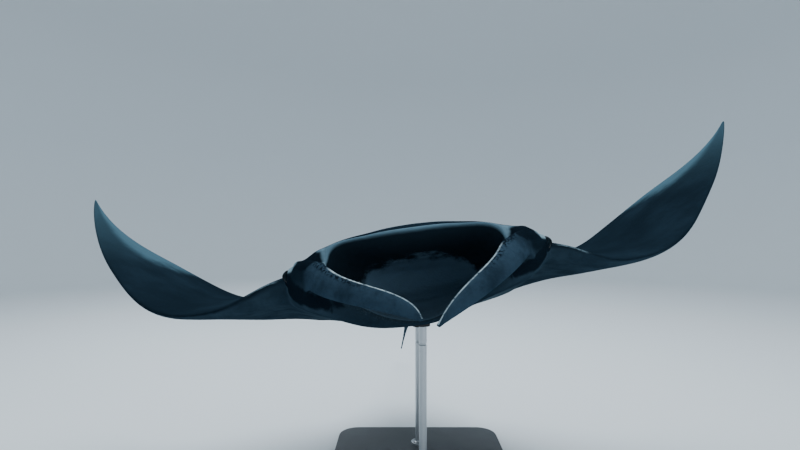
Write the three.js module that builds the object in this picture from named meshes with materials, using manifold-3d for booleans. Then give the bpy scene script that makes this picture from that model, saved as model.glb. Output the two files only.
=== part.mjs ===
// Reef manta ray, life size, swimming with its mouth open, held on a display stand.
// Millimetres, +Z up. The ray is drawn in its own frame first: x to its left side,
// y from the upper lip back to the tail, z up through its back. The animal faces -Y.
import * as THREE from 'three';
import Module from 'manifold-3d';

const wasm = await Module();
wasm.setup();

// ---- driving sizes -------------------------------------------------------------

const gap = 0.3; // clearance between touching pieces

const disc = {
  halfSpan: 1750, // wing tip from the midline, laid flat
  shoulder: 385, // where the wing starts
  shoulderBack: 170, // leading edge at the shoulder, behind the lip
  tipBack: 859, // wing tip, behind the lip
  sweep: 1.849,
  rootThickness: 75,
  edge: 2, // half thickness at the trailing edge
};

const head = {
  mouthHalf: 250,
  cornerBack: 30,
  cornerDrop: -20,
  lipTop: 57, // inner edge of the upper lip
  lipLow: 165, // drop of the lower lip under the mouth corner
  throatDepth: 360,
  throatHalf: 66,
  throatLevel: -22,
  sideControl: [[250, 30], [340, 35], [375, 70], [400, 172]],
};

const pose = {
  pitch: 16.8, // nose up, degrees
  roll: 7.95, // left wing higher
  yaw: -2.88,
  lipHeight: 1000, // mouth above the floor
  ahead: 640, // mouth in front of the stand's middle
  aside: -45,
};

const wings = {
  right: { rise: 42.5, from: 496.6, to: 1057.4, droop: 14.88, twist: 12.54, curl: 12.75, lift: 19.6 },
  left: { rise: 39.07, from: 486.9, to: 936.9, droop: 12.12, twist: 14.52, curl: 4.33, lift: 10.9 },
};

const lobes = {
  right: {
    upper: [[259, 20, 31], [245, -84, -96], [21, -158, -111], [10, -159, -203]],
    lower: [[319, 41, -47], [268, -61, -118], [152, -126, -148], [14, -150, -208]],
  },
  left: {
    upper: [[238, 23, 34], [225, -81, -83], [92, -160, -111], [23, -158, -221]],
    lower: [[320, 45, -29], [268, -67, -95], [146, -122, -172], [24, -149, -225]],
  },
  rootThick: 17,
  tipThick: 5,
};

const eye = { across: 373, back: 118, up: -4, radius: 21 };

const tail = { start: 1400, end: 2620, rootWide: 46, rootHigh: 34, tip: 3.5, drop: 112 };

const dorsal = { front: 1335, rear: 1505, height: 88, thick: 9 };

const pelvic = { inner: 28, outer: 168, front: 1392, rear: 1590, thick: 9 };

const gills = { count: 5, first: 385, step: 82, inner: 92, reach: 168, radius: 5 };

const stand = {
  length: 1160,
  width: 780,
  thick: 24,
  corner: 90,
  rod: 15,
  pad: 28,
  padThick: 8,
  frontY: -70,
  rearY: 390,
};

// ---- small helpers -------------------------------------------------------------

const rad = THREE.MathUtils.degToRad;
const clamp = (x) => Math.min(Math.max(x, 0), 1);
const mix = (p, q, t) => p + (q - p) * t;
const ease = (x) => clamp(x) ** 2 * (3 - 2 * clamp(x));
const bell = (x, wide, power) => Math.exp(-(Math.abs(x / wide) ** power));
const signedPow = (x, p) => Math.sign(x) * Math.abs(x) ** p;

function bezier(control, t) {
  const s = 1 - t;
  const weight = [s ** 3, 3 * s * s * t, 3 * s * t * t, t ** 3];
  return control[0].map((_, k) => control.reduce((sum, c, i) => sum + c[k] * weight[i], 0));
}

// A closed solid through rings of equal length, fanned shut at both ends.
function loft(rings) {
  const count = rings[0].length;
  const points = rings.flat();
  const triangles = [];
  for (let i = 0; i < rings.length - 1; i += 1) {
    for (let j = 0; j < count; j += 1) {
      const a = i * count + j;
      const b = i * count + ((j + 1) % count);
      triangles.push([a, b, b + count], [a, b + count, a + count]);
    }
  }
  for (const [at, flip] of [[0, true], [rings.length - 1, false]]) {
    const middle = new THREE.Vector3();
    rings[at].forEach((p) => middle.addScaledVector(p, 1 / count));
    points.push(middle);
    for (let j = 0; j < count; j += 1) {
      const a = at * count + j;
      const b = at * count + ((j + 1) % count);
      triangles.push(flip ? [points.length - 1, b, a] : [points.length - 1, a, b]);
    }
  }
  const build = (faces) => new wasm.Manifold(new wasm.Mesh({
    numProp: 3,
    vertProperties: Float32Array.from(points.flatMap((p) => p.toArray())),
    triVerts: Uint32Array.from(faces.flat()),
  }));
  const signed = triangles.reduce((sum, [a, b, c]) => (
    sum + points[a].dot(points[b].clone().cross(points[c]))), 0);
  return build(signed > 0 ? triangles : triangles.map(([a, b, c]) => [a, c, b]));
}

function block(x0, x1, y0, y1, z0, z1) {
  return wasm.Manifold.cube([x1 - x0, y1 - y0, z1 - z0]).translate([x0, y0, z0]);
}

// ---- outline and thickness of the flat disc --------------------------------------

function leadingEdge(a) {
  if (a < head.mouthHalf) return head.cornerBack * (a / head.mouthHalf) ** 2;
  if (a < 400) {
    const side = (a - head.mouthHalf) / (400 - head.mouthHalf);
    return mix(head.cornerBack, disc.shoulderBack, side ** 3);
  }
  const out = clamp((a - disc.shoulder) / (disc.halfSpan - disc.shoulder));
  return mix(disc.shoulderBack, disc.tipBack, out ** disc.sweep);
}

function trailingEdge(a) {
  const r = 1 - a / disc.halfSpan;
  return disc.tipBack - 589 * r + 2000 * r * r - 800 * r ** 3;
}

function wingDepth(a, b) {
  const front = leadingEdge(a);
  const x = clamp((b - front) / (trailingEdge(a) - front));
  const most = disc.rootThickness * (1 - a / 1850) ** 1.5 + 3;
  return most * x ** 0.6 * (1 - x) / 0.347;
}

function topHeight(a, b) {
  const rise = b < 560 ? mix(50, 95, Math.sin(clamp(b / 560) * Math.PI / 2))
    : mix(95, 36, ease((b - 560) / 900));
  const wide = mix(275, 300, ease(b / 500)) * mix(1, 0.32, ease((b - 450) / 1000));
  const share = mix(0.95, 0.4, ease((a - 150) / 270)) + 0.45 * ease((a - 550) / 400);
  return disc.edge + share * wingDepth(a, b) + rise * bell(a, wide, 2.6);
}

function bottomHeight(a, b) {
  const drop = 40 + 132 * Math.exp(-Math.max(b - 50, 0) / 300);
  const wide = 400 * mix(1, 0.24, ease((b - 400) / 1050));
  const share = mix(0.9, 0.55, ease((a - 450) / 350));
  return disc.edge + share * wingDepth(a, b) + drop * bell(a, wide, 2.4);
}

// The soft belly hangs a little toward the lower wing, and is fuller or hollower at the wing roots.
const belly = {
  right: { shift: 0.05, full: 0.53, fullAt: 570, fullWide: 105, fold: 0 },
  left: { shift: -0.13, full: 0.2, fullAt: 547, fullWide: 45, fold: 0.3 },
  foldAt: 395,
  foldWide: 45,
};

function hang(side, a) {
  const { shift, full, fullAt, fullWide, fold } = belly[side];
  const middle = shift * ease(a / 180) * (1 - ease((a - 420) / 380));
  const root = full * bell(a - fullAt, fullWide, 2) - fold * bell(a - belly.foldAt, belly.foldWide, 2);
  return 1 + middle + root;
}

// The head swells over each corner of the mouth, with a knob where the lobe's muscle lies.
const crown = {
  right: { rise: 12.5, full: 240, to: 268, gone: 320, knob: 9, knobAt: 346, knobWide: 15 },
  left: { rise: 9, full: 230, to: 335, gone: 390, knob: 4.5, knobAt: 312, knobWide: 16 },
  from: 120,
  middleDip: 3,
  middleWide: 100,
  fadeFrom: 90,
  fadeLength: 260,
};

function swell(side, a, b) {
  const { rise, full, to, gone, knob, knobAt, knobWide } = crown[side];
  const over = rise * ease((a - crown.from) / (full - crown.from)) * (1 - ease((a - to) / (gone - to)));
  const height = over + knob * bell(a - knobAt, knobWide, 2) - crown.middleDip * bell(a, crown.middleWide, 2);
  return height * (1 - ease((b - crown.fadeFrom) / crown.fadeLength));
}

// ---- pose: each wing bends up along its span and twists about its spar ---------------

function bendTable(wing) {
  const steps = 420;
  const table = [];
  let across = disc.shoulder;
  let up = 0;
  const slope = (a) => rad(wing.rise) * ease((a - wing.from) / (wing.to - wing.from))
    + rad(wing.curl) * clamp((a - 1100) / (disc.halfSpan - 1100))
    - rad(wing.droop) * Math.sin(Math.PI * clamp((a - disc.shoulder) / (950 - disc.shoulder))) ** 2;
  const step = (disc.halfSpan - disc.shoulder) / steps;
  for (let i = 0; i <= steps; i += 1) {
    const a = disc.shoulder + i * step;
    table.push({ across, up, slope: slope(a) });
    across += Math.cos(slope(a + step / 2)) * step;
    up += Math.sin(slope(a + step / 2)) * step;
  }
  return (a) => {
    const at = clamp((a - disc.shoulder) / (disc.halfSpan - disc.shoulder)) * steps;
    const low = Math.min(Math.floor(at), steps - 1);
    const pick = (key) => mix(table[low][key], table[low + 1][key], at - low);
    return { across: pick('across'), up: pick('up'), slope: pick('slope') };
  };
}

const bends = { right: bendTable(wings.right), left: bendTable(wings.left) };

function sway(a, b) {
  return -74 * (Math.max(b - 500, 0) / 1100) ** 1.3 * bell(a, 500, 2);
}

function posed(side, a, b, h) {
  const sign = side === 'left' ? 1 : -1;
  const height = h < 0 ? h * hang(side, a) : h + swell(side, a, b) * ease(h / 30);
  if (a <= disc.shoulder) return new THREE.Vector3(sign * a + sway(a, b), b, height);
  const wing = wings[side];
  const bend = bends[side](a);
  const out = a - disc.shoulder;
  const twist = rad(wing.twist) * ease(out / 250) * (1 - ease((a - 1150) / (disc.halfSpan - 1150)));
  const spar = mix(leadingEdge(a), trailingEdge(a), 0.3);
  const chord = new THREE.Vector3(-Math.sin(bend.slope) * Math.sin(twist), Math.cos(twist),
    Math.cos(bend.slope) * Math.sin(twist));
  const normal = new THREE.Vector3(-Math.sin(bend.slope) * Math.cos(twist), -Math.sin(twist),
    Math.cos(bend.slope) * Math.cos(twist));
  const point = new THREE.Vector3(bend.across, spar, bend.up + wing.lift * ease(out / 250));
  point.addScaledVector(chord, b - spar).addScaledVector(normal, height);
  return new THREE.Vector3(sign * point.x + sway(a, b), point.y, point.z);
}

// ---- body with wings and mouth, one closed shape --------------------------------------

const columns = { mouth: 6, side: 7, wing: 17 };
const rows = { back: 7, band: 10 };

// Planform start of column i: edge point, inset point behind it and what the front does there.
function columnAt(i) {
  const headColumns = columns.mouth + columns.side;
  if (i < columns.mouth) {
    const a = head.mouthHalf * (1 - (1 - i / columns.mouth) ** 1.5);
    const b = leadingEdge(a);
    return { edge: [a, b], inset: [a, b + 15], rear: 420 * i / headColumns, centre: 0, open: true };
  }
  if (i <= headColumns) {
    const t = (i - columns.mouth) / columns.side;
    const here = bezier(head.sideControl, t);
    const near = bezier(head.sideControl, Math.max(t - 0.02, 0));
    const next = bezier(head.sideControl, Math.min(t + 0.02, 1));
    const length = Math.hypot(next[0] - near[0], next[1] - near[1]);
    const normal = [-(next[1] - near[1]) / length, (next[0] - near[0]) / length];
    const turn = ease((t - 0.75) / 0.25);
    const back = [mix(normal[0], 0, turn), mix(normal[1], 1, turn)];
    const deep = mix(15, 34, ease(t / 0.4));
    const inset = [here[0] + deep * back[0], here[1] + deep * back[1]];
    const centre = mix(-38, 0, ease((t - 0.3) / 0.7));
    const pinch = 1 - ease(t / 0.45);
    return { edge: here, inset, rear: 420 * i / headColumns, centre, power: mix(2.6, 2, t), pinch };
  }
  const t = (i - headColumns) / columns.wing;
  const a = mix(405, disc.halfSpan - 5, t);
  const chord = trailingEdge(a) - leadingEdge(a);
  const b = leadingEdge(a);
  return { edge: [a, b], inset: [a, b + 0.035 * chord], rear: a, centre: 0, power: 2, pinch: 0 };
}

function mouthRow(a, j) {
  const u = a / head.mouthHalf;
  const front = leadingEdge(a);
  const lowFront = 60 - 30 * u * u;
  const upper = head.cornerDrop + (head.lipTop - head.cornerDrop) * (1 - u ** 3.2) ** 0.35;
  const lower = head.cornerDrop - head.lipLow * (1 - u ** 1.7) ** 0.75;
  const crest = topHeight(a, front + 15);
  const keel = -bottomHeight(a, lowFront + 15);
  if (j === 0) return [front + 15, crest];
  if (j === 1) return [front, mix(crest, upper, 0.5)];
  if (j === rows.band - 1) return [lowFront, mix(keel, lower, 0.4)];
  if (j === rows.band) return [lowFront + 15, keel];
  const turn = Math.PI * (j - 2) / (rows.band - 4);
  const deep = Math.sin(turn) ** 0.5;
  const depth = head.throatDepth * (1 - u ** 3) ** 0.5;
  const slim = head.throatHalf * (1 - u ** 3) ** 0.4;
  const middle = mix((upper + lower) / 2, head.throatLevel, deep);
  const half = mix((upper - lower) / 2, slim, deep);
  const level = middle + half * signedPow(Math.cos(turn), 0.7);
  return [mix(mix(front + 3, lowFront + 3, (j - 2) / (rows.band - 4)), front + depth, deep), level];
}

function columnRing(side, i) {
  const column = columnAt(i);
  const [ea, eb] = column.edge;
  const [ia, ib] = column.inset;
  const rearBack = trailingEdge(column.rear);
  const ring = [];
  const lowStart = column.open ? 60 - 30 * (ea / head.mouthHalf) ** 2 + 15 : ib;
  for (let k = rows.back; k > 0; k -= 1) {
    const t = (k / rows.back) ** 1.25;
    const a = mix(ia, column.rear, t);
    const b = mix(ib, rearBack, t);
    ring.push(posed(side, a, b, topHeight(a, b)));
  }
  for (let j = 0; j <= rows.band; j += 1) {
    if (column.open) {
      const [b, h] = mouthRow(ea, j);
      ring.push(posed(side, ea, b, h));
    } else {
      const even = j / rows.band;
      const held = 0.5 + signedPow(2 * even - 1, 2.2) / 2;
      const turn = Math.PI * (0.5 - mix(even, held, column.pinch));
      const out = Math.abs(Math.cos(turn)) ** (2 / column.power);
      const a = mix(ia, ea, out);
      const b = mix(ib, eb, out);
      const reach = Math.sin(turn) > 0 ? topHeight(ia, ib) - column.centre
        : bottomHeight(ia, ib) + column.centre;
      ring.push(posed(side, a, b, column.centre + reach * signedPow(Math.sin(turn), 2 / column.power)));
    }
  }
  for (let k = 1; k <= rows.back; k += 1) {
    const t = (k / rows.back) ** 1.25;
    const a = mix(ia, column.rear, t);
    const b = mix(lowStart, rearBack, t);
    ring.push(posed(side, a, b, -bottomHeight(a, b)));
  }
  return ring;
}

const last = columns.mouth + columns.side + columns.wing;
const bodyRings = [];
for (let i = last; i > 0; i -= 1) bodyRings.push(columnRing('right', i));
for (let i = 0; i <= last; i += 1) bodyRings.push(columnRing('left', i));
let whole = loft(bodyRings);

// ---- cephalic lobes, tail and fins ---------------------------------------------------

function lobeSolid(side) {
  const sign = side === 'left' ? 1 : -1;
  const shape = lobes[side];
  const rings = [];
  for (let i = -1; i <= 12; i += 1) {
    const t = Math.max(i, 0) / 12;
    const upper = new THREE.Vector3(...bezier(shape.upper, t));
    const lower = new THREE.Vector3(...bezier(shape.lower, t));
    const ahead = new THREE.Vector3(...bezier(shape.upper, Math.min(t + 0.01, 1)));
    const behind = new THREE.Vector3(...bezier(shape.upper, Math.max(t - 0.01, 0)));
    const along = ahead.sub(behind).normalize();
    const across = upper.clone().sub(lower);
    const half = across.length() / 2;
    across.normalize();
    const face = new THREE.Vector3().crossVectors(across, along).normalize();
    const centre = upper.add(lower).multiplyScalar(0.5);
    if (i < 0) centre.add(new THREE.Vector3(14, 62, -6));
    const thick = mix(lobes.rootThick, lobes.tipThick, t ** 0.6);
    const ring = [];
    for (let j = 0; j < 12; j += 1) {
      const turn = 2 * Math.PI * j / 12;
      const p = centre.clone().addScaledVector(across, half * Math.cos(turn));
      p.addScaledVector(face, thick * Math.sin(turn) * (i < 0 ? 0.8 : 1));
      ring.push(new THREE.Vector3(sign * p.x, p.y, p.z));
    }
    rings.push(ring);
  }
  return loft(rings);
}

function tailSolid() {
  const rings = [];
  for (let i = 0; i <= 18; i += 1) {
    const t = i / 18;
    const b = mix(tail.start, tail.end, t);
    const thin = Math.exp(-4.2 * t);
    const wide = mix(tail.tip, tail.rootWide, thin);
    const high = mix(tail.tip, tail.rootHigh, thin);
    const ring = [];
    for (let j = 0; j < 10; j += 1) {
      const turn = 2 * Math.PI * j / 10;
      const drop = -tail.drop * t ** 1.5;
      ring.push(new THREE.Vector3(sway(0, b) + wide * Math.cos(turn), b, drop + high * Math.sin(turn)));
    }
    rings.push(ring);
  }
  return loft(rings);
}

function dorsalSolid() {
  const rings = [];
  for (let i = 0; i <= 6; i += 1) {
    const t = i / 6;
    const front = mix(dorsal.front, dorsal.rear - 30, t ** 0.9);
    const rear = mix(dorsal.rear, dorsal.rear + 22, t) - 16 * t ** 4;
    const length = Math.max(rear - front, 14);
    const ring = [];
    for (let j = 0; j < 12; j += 1) {
      const turn = 2 * Math.PI * j / 12;
      const b = front + length * (0.5 - 0.5 * Math.cos(turn));
      const h = mix(10, dorsal.height + 45, t);
      ring.push(new THREE.Vector3(sway(0, b) + dorsal.thick * mix(1, 0.3, t) * Math.sin(turn), b, h));
    }
    rings.push(ring);
  }
  return loft(rings);
}

function pelvicSolid(side) {
  const sign = side === 'left' ? 1 : -1;
  const rings = [];
  for (let i = 0; i <= 7; i += 1) {
    const t = i / 7;
    const a = mix(pelvic.inner, pelvic.outer, t);
    const front = pelvic.front + 62 * t ** 1.5;
    const rear = mix(pelvic.rear, pelvic.front + 118, t ** 1.9);
    const ring = [];
    for (let j = 0; j < 12; j += 1) {
      const turn = 2 * Math.PI * j / 12;
      const b = mix(front, rear, 0.5 - 0.5 * Math.cos(turn));
      const h = -8 - 14 * t + mix(pelvic.thick, 2.5, t) * Math.sin(turn);
      ring.push(new THREE.Vector3(sign * a + sway(a, b), b, h));
    }
    rings.push(ring);
  }
  return loft(rings);
}

// A groove that follows the belly, one for each gill opening.
function gillGroove(side, index) {
  const rings = [];
  const steps = 5;
  for (let i = 0; i <= steps; i += 1) {
    const t = i / steps;
    const a = gills.inner + index * 4 + (gills.reach - 17 * index) * t;
    const b = gills.first + gills.step * index + 26 * Math.sin(Math.PI * t) - 26 * t;
    const r = gills.radius * mix(0.35, 1, Math.sin(Math.PI * t) ** 0.5);
    const ring = [];
    for (let j = 0; j < 6; j += 1) {
      const turn = 2 * Math.PI * j / 6;
      ring.push(posed(side, a, b + r * Math.cos(turn), -bottomHeight(a, b) + 1.4 * r * Math.sin(turn)));
    }
    rings.push(ring);
  }
  return loft(rings);
}

whole = wasm.Manifold.union([whole, lobeSolid('right'), lobeSolid('left'), tailSolid(),
  pelvicSolid('right'), pelvicSolid('left')]);
const groove = [];
for (const side of ['right', 'left']) {
  for (let i = 0; i < gills.count; i += 1) groove.push(gillGroove(side, i));
}
whole = whole.subtract(wasm.Manifold.union(groove)).simplify(0.5);

// ---- the ray in its pose on the stand -------------------------------------------------

const ray = new THREE.Group();
ray.rotation.set(-rad(pose.pitch), -rad(pose.roll), rad(pose.yaw), 'ZXY');
ray.position.set(pose.aside, -pose.ahead, pose.lipHeight);
ray.updateMatrix();

const model = new THREE.Group();
model.add(ray);

function addMesh(group, name, solid, colour, roughness, metalness = 0) {
  const mesh = solid.getMesh();
  const geometry = new THREE.BufferGeometry();
  geometry.setAttribute('position', new THREE.BufferAttribute(Float32Array.from(mesh.vertProperties), 3));
  geometry.setIndex(Array.from(mesh.triVerts));
  geometry.computeVertexNormals();
  const material = new THREE.MeshStandardMaterial({ color: colour, roughness, metalness });
  const piece = new THREE.Mesh(geometry, material);
  piece.name = name;
  group.add(piece);
  return piece;
}

const inWorld = whole.transform(Array.from(ray.matrix.elements));

// ---- cutting the body into its named parts ----------------------------------------------

const skinTone = 0x2c4254;
const paleTone = 0x6f8794;
const darkTone = 0x1a2833;
const far = 4000;

// Takes the piece inside a block off the body, leaving the clearance behind it.
function takeOff(x0, x1, y0, y1, z0, z1) {
  const piece = whole.intersect(block(x0, x1, y0, y1, z0, z1));
  whole = whole.subtract(block(x0 - gap, x1 + gap, y0 - gap, y1 + gap, z0 - gap, z1 + gap));
  return piece;
}

const finTop = dorsalSolid().subtract(whole.translate([0, 0, gap])).subtract(block(-far, far, 0, far, -far, 20));
addMesh(ray, 'dorsal_fin', finTop, darkTone, 0.5);

for (const [name, sign] of [['left', 1], ['right', -1]]) {
  const centre = [sign * eye.across, eye.back, eye.up];
  whole = whole.subtract(wasm.Manifold.sphere(eye.radius + gap, 16).translate(centre));
  addMesh(ray, `eye_${name}`, wasm.Manifold.sphere(eye.radius, 16).translate(centre), 0x0c1116, 0.12);
}

addMesh(ray, 'cephalic_lobe_left', takeOff(0, far, -far, 16, -far, 45), skinTone, 0.5);
addMesh(ray, 'cephalic_lobe_right', takeOff(-far, -gap, -far, 16, -far, 45), skinTone, 0.5);
addMesh(ray, 'tail_tip', takeOff(-far, far, 2230, far, -far, far), darkTone, 0.5);
addMesh(ray, 'tail_middle', takeOff(-far, far, 1880, 2230 - gap, -far, far), darkTone, 0.5);
const hips = sway(60, 1480);
addMesh(ray, 'pelvic_fin_left', takeOff(hips + 62, 400, 1436, 1880 - gap, -90, 60), paleTone, 0.5);
addMesh(ray, 'pelvic_fin_right', takeOff(-400, hips - 62, 1436, 1880 - gap, -90, 60), paleTone, 0.5);
addMesh(ray, 'tail_root', takeOff(-far, far, 1520, 1880 - gap, -far, far), darkTone, 0.5);
addMesh(ray, 'wing_tip_left', takeOff(1150, far, -far, far, -far, far), skinTone, 0.5);
addMesh(ray, 'wing_middle_left', takeOff(780, 1150 - gap, -far, far, -far, far), skinTone, 0.5);
addMesh(ray, 'wing_root_left', takeOff(420, 780 - gap, -far, far, -far, far), skinTone, 0.5);
addMesh(ray, 'wing_tip_right', takeOff(-far, -1150, -far, far, -far, far), skinTone, 0.5);
addMesh(ray, 'wing_middle_right', takeOff(-1150 + gap, -780, -far, far, -far, far), skinTone, 0.5);
addMesh(ray, 'wing_root_right', takeOff(-780 + gap, -420, -far, far, -far, far), skinTone, 0.5);
addMesh(ray, 'head', takeOff(-far, far, -far, 470, -far, far), skinTone, 0.5);
addMesh(ray, 'trunk', whole, skinTone, 0.5);

// ---- display stand ------------------------------------------------------------------------

const plate = new THREE.Shape();
const [hx, hy, c] = [stand.width / 2, stand.length / 2, stand.corner];
plate.moveTo(-hx + c, -hy);
plate.lineTo(hx - c, -hy);
plate.absarc(hx - c, -hy + c, c, -Math.PI / 2, 0, false);
plate.lineTo(hx, hy - c);
plate.absarc(hx - c, hy - c, c, 0, Math.PI / 2, false);
plate.lineTo(-hx + c, hy);
plate.absarc(-hx + c, hy - c, c, Math.PI / 2, Math.PI, false);
plate.lineTo(-hx, -hy + c);
plate.absarc(-hx + c, -hy + c, c, Math.PI, 1.5 * Math.PI, false);
const base = new THREE.Mesh(
  new THREE.ExtrudeGeometry(plate, { depth: stand.thick, bevelEnabled: false, curveSegments: 8 }),
  new THREE.MeshStandardMaterial({ color: 0x23282c, roughness: 0.45, metalness: 0.1 }),
);
base.name = 'stand_base';
model.add(base);

for (const [name, y] of [['front', stand.frontY], ['rear', stand.rearY]]) {
  const column = wasm.Manifold.cylinder(1400, stand.pad, stand.pad, 32).translate([0, y, stand.thick]);
  const above = column.intersect(inWorld);
  const belly = above.boundingBox().min[2];
  const under = wasm.Manifold.cylinder(far, 6, 6, 8).translate([0, y, 0]).intersect(inWorld);
  const middle = under.boundingBox().min[2];
  const low = Math.min(belly, middle) - stand.padThick;
  const pad = wasm.Manifold.cylinder(far, stand.pad, stand.pad, 32).translate([0, y, low]);
  const shell = pad.intersect(block(-far, far, -far, far, low, middle + 60));
  const saddle = shell.subtract(inWorld.translate([0, 0, -gap])).decompose();
  saddle.sort((p, q) => p.boundingBox().min[2] - q.boundingBox().min[2]);
  addMesh(model, `stand_pad_${name}`, saddle[0], 0x14181b, 0.7);
  const rod = wasm.Manifold.cylinder(low - stand.thick - 2 * gap, stand.rod, stand.rod, 24);
  addMesh(model, `stand_rod_${name}`, rod.translate([0, y, stand.thick + gap]), 0x9aa2a8, 0.3, 0.9);
}

export default model;
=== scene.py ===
import math
import bpy
import bmesh
from mathutils import Matrix, Vector


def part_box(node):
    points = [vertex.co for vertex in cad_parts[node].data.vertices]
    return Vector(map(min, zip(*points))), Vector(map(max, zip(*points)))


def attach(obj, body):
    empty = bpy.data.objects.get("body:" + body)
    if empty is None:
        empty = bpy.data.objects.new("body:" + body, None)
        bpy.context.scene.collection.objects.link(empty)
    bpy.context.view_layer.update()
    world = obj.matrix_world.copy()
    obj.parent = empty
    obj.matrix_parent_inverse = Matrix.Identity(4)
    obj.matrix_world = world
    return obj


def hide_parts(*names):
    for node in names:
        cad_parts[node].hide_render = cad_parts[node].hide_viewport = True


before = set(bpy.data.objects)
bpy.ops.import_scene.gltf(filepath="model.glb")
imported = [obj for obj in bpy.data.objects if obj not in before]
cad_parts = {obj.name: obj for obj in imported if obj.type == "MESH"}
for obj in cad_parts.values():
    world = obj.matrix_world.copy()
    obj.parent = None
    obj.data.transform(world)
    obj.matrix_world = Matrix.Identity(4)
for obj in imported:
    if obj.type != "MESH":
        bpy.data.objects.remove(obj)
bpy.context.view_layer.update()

scene = bpy.context.scene
print("frame loaded")

# Sizes are in metres and the same as the solids'. The ray is drawn in its own frame first:
# x to its left, y from the upper lip back to the tail, z up through its back.
disc = {
    "halfSpan": 1.75, "shoulder": 0.385, "shoulderBack": 0.170, "tipBack": 0.859,
    "sweep": 1.849, "rootThickness": 0.075, "edge": 0.002,
    "trail": (0.589, 2.0, 0.8),  # how the rear edge runs in from the tip, to the third power
}
head = {
    "mouthHalf": 0.250, "cornerBack": 0.030, "cornerDrop": -0.020,
    "lipTop": 0.057, "lipLow": 0.165, "lipRound": 0.015,
    "throatDepth": 0.360, "throatHalf": 0.066, "throatLevel": -0.022,
    "sideControl": [(0.250, 0.030), (0.340, 0.035), (0.375, 0.070), (0.400, 0.172)],
}
wings = {  # -1 is the ray's right side and 1 its left, with angles in degrees
    -1: {
        "rise": 42.5, "from": 0.4966, "to": 1.0574, "droop": 14.88,
        "twist": 12.54, "curl": 12.75, "lift": 0.0196,
    },
    1: {
        "rise": 39.07, "from": 0.4869, "to": 0.9369, "droop": 12.12,
        "twist": 14.52, "curl": 4.33, "lift": 0.0109,
    },
}
bending = {"droopTo": 0.95, "curlFrom": 1.1, "twistFade": 1.15, "ramp": 0.25, "spar": 0.3}
pose = {"pitch": 16.8, "roll": 7.95, "yaw": -2.88}


def clamp(x):
    return min(max(x, 0.0), 1.0)


def mix(p, q, t):
    return p + (q - p) * t


def ease(x):
    x = clamp(x)
    return x * x * (3 - 2 * x)


def ramp(x, start, over):
    return ease((x - start) / over)


def bell(x, wide, power):
    return math.exp(-abs(x / wide) ** power)


def signedPow(x, p):
    return math.copysign(abs(x) ** p, x)


def bezier(control, t):
    s = 1 - t
    weight = (s ** 3, 3 * s * s * t, 3 * s * t * t, t ** 3)
    return [sum(w * c[k] for w, c in zip(weight, control)) for k in range(len(control[0]))]


def leadingEdge(a):
    if a < head["mouthHalf"]:
        return head["cornerBack"] * (a / head["mouthHalf"]) ** 2
    if a < 0.4:
        side = (a - head["mouthHalf"]) / (0.4 - head["mouthHalf"])
        return mix(head["cornerBack"], disc["shoulderBack"], side ** 3)
    out = clamp((a - disc["shoulder"]) / (disc["halfSpan"] - disc["shoulder"]))
    return mix(disc["shoulderBack"], disc["tipBack"], out ** disc["sweep"])


def trailingEdge(a):
    inward = 1 - a / disc["halfSpan"]
    first, second, third = disc["trail"]
    return disc["tipBack"] - first * inward + second * inward * inward - third * inward ** 3


def wingDepth(a, b):
    front = leadingEdge(a)
    x = clamp((b - front) / max(trailingEdge(a) - front, 1e-4))
    most = disc["rootThickness"] * (1 - a / 1.85) ** 1.5 + 0.003
    return most * x ** 0.6 * (1 - x) / 0.347


hump = {
    "lip": 0.050, "high": 0.095, "tail": 0.036, "highAt": 0.56, "wide": 0.275,
    "widest": 0.300, "slim": 0.32,
}
keelForm = {"shallow": 0.040, "deep": 0.132, "fade": 0.3, "wide": 0.400, "slim": 0.24}


def topHeight(a, b):
    if b < hump["highAt"]:
        rise = mix(hump["lip"], hump["high"], math.sin(clamp(b / hump["highAt"]) * math.pi / 2))
    else:
        rise = mix(hump["high"], hump["tail"], ramp(b, hump["highAt"], 0.9))
    wide = mix(hump["wide"], hump["widest"], ease(b / 0.5)) * mix(1, hump["slim"], ramp(b, 0.45, 1.0))
    share = mix(0.95, 0.4, ramp(a, 0.15, 0.27)) + 0.45 * ramp(a, 0.55, 0.4)
    return disc["edge"] + share * wingDepth(a, b) + rise * bell(a, wide, 2.6)


def bottomHeight(a, b):
    drop = keelForm["shallow"] + keelForm["deep"] * math.exp(-max(b - 0.05, 0) / keelForm["fade"])
    wide = keelForm["wide"] * mix(1, keelForm["slim"], ramp(b, 0.4, 1.05))
    share = mix(0.9, 0.55, ramp(a, 0.45, 0.35))
    return disc["edge"] + share * wingDepth(a, b) + drop * bell(a, wide, 2.4)


belly = {
    -1: {"shift": 0.05, "fold": 0, "full": 0.53, "fullAt": 0.570, "fullWide": 0.105},
    1: {"shift": -0.13, "fold": 0.3, "full": 0.2, "fullAt": 0.547, "fullWide": 0.045},
}
crown = {
    -1: {"rise": 0.0125, "full": 0.24, "to": 0.268, "gone": 0.32, "knob": 0.009, "at": 0.346, "wide": 0.015},
    1: {"rise": 0.009, "full": 0.23, "to": 0.335, "gone": 0.39, "knob": 0.0045, "at": 0.312, "wide": 0.016},
}
aside = {"most": 0.074, "from": 0.5, "over": 1.1}  # the rear body and the tail swing a little to one side


def hang(side, a):  # the soft belly hangs a little toward the lower wing
    soft = belly[side]
    middle = soft["shift"] * ease(a / 0.18) * (1 - ramp(a, 0.42, 0.38))
    full = soft["full"] * bell(a - soft["fullAt"], soft["fullWide"], 2)
    return 1 + middle + full - soft["fold"] * bell(a - 0.395, 0.045, 2)


def swell(side, a, b):  # the head is fuller over the mouth's corners, with a knob on each lobe's shoulder
    top = crown[side]
    over = top["rise"] * ease((a - 0.12) / (top["full"] - 0.12))
    over *= 1 - ease((a - top["to"]) / (top["gone"] - top["to"]))
    knob = top["knob"] * bell(a - top["at"], top["wide"], 2)
    return (over + knob - 0.003 * bell(a, 0.1, 2)) * (1 - ramp(b, 0.09, 0.26))


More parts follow.
